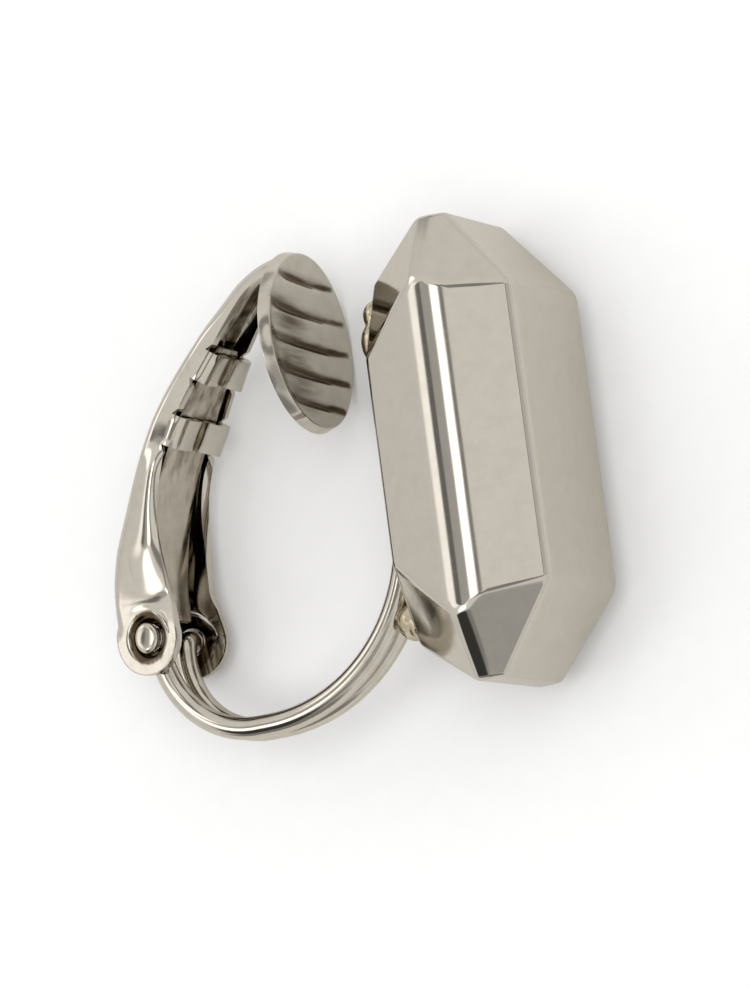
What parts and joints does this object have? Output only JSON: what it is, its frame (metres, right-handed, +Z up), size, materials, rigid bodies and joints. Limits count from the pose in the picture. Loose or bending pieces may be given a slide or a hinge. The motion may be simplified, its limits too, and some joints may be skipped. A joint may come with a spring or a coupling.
{
  "type": "clip on earring",
  "caption": "Clip on earring with a long faceted block in polished silver tone metal, on a wire loop with a hinged spring lever and a ribbed oval pad.",
  "frame": {"origin": "on the floor under the middle of the object's box", "axes": "+Z up from the surface it lies on; +Y along the block, towards its top end as worn; +X towards the block's flat front, away from the clip"},
  "size_m": [0.0221, 0.0206, 0.0085],
  "materials": {
    "block_metal": "polished cast metal with a warm nickel tone",
    "clip_metal": "polished stamped sheet, plated",
    "spring_metal": "bright rolled strip"
  },
  "bodies": {
    "setting": {"block_and_wire": "block_metal"},
    "lever": {"clip_lever": "clip_metal", "leaf_spring": "spring_metal"}
  },
  "joints": [
    {"name": "lever_hinge", "type": "hinge", "parent": "setting", "child": "lever", "pos_m": [-0.00929, -0.00523, 0.00306], "axis": [-0.0707, 0, 0.9975], "range_deg": [0, 90]}
  ]
}
